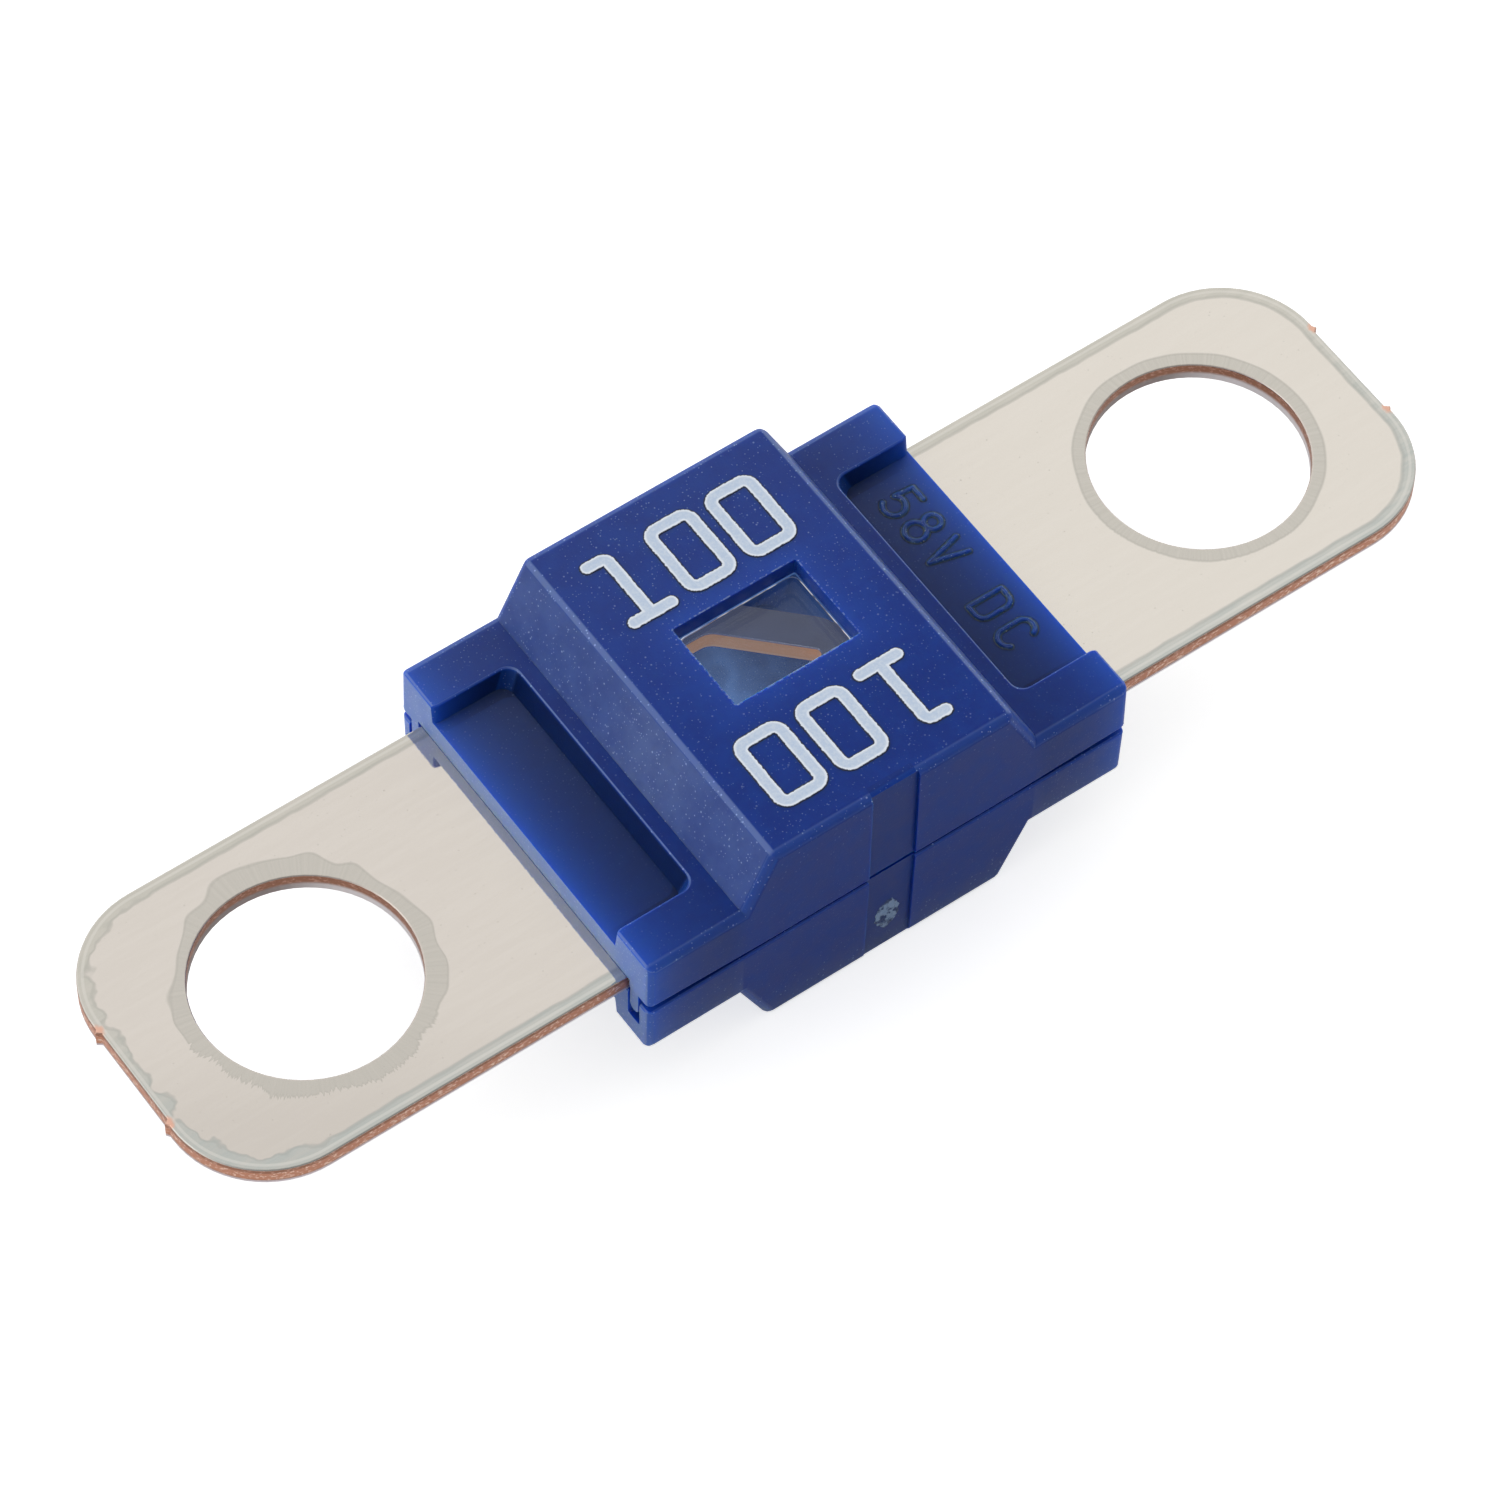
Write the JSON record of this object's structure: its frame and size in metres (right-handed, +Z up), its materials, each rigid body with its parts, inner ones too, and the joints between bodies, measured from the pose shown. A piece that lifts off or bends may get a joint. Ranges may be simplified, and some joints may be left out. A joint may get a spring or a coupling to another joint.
{
  "type": "bolt down strip fuse",
  "caption": "Flat stamped strip with two round bolting holes, clamped in a two-part moulded housing with raised middle block, open end pockets and a clear window.",
  "frame": {"origin": "under the middle of the housing, on the surface that its lower block stands on", "axes": "+X along the strip from one bolt hole to the other, +Z up through the window"},
  "size_m": [0.041, 0.0118, 0.0081],
  "materials": {
    "upper_shell": "satin moulded blue plastic with a fine grain",
    "lower_shell": "satin moulded blue plastic with a fine grain",
    "fuse_strip": "tin-plated copper, satin, with bare copper on the cut edges",
    "window_pane": "clear moulded plastic, polished"
  },
  "bodies": {
    "root": {"upper_shell": "upper_shell", "lower_shell": "lower_shell", "fuse_strip": "fuse_strip", "window_pane": "window_pane"}
  },
  "joints": []
}
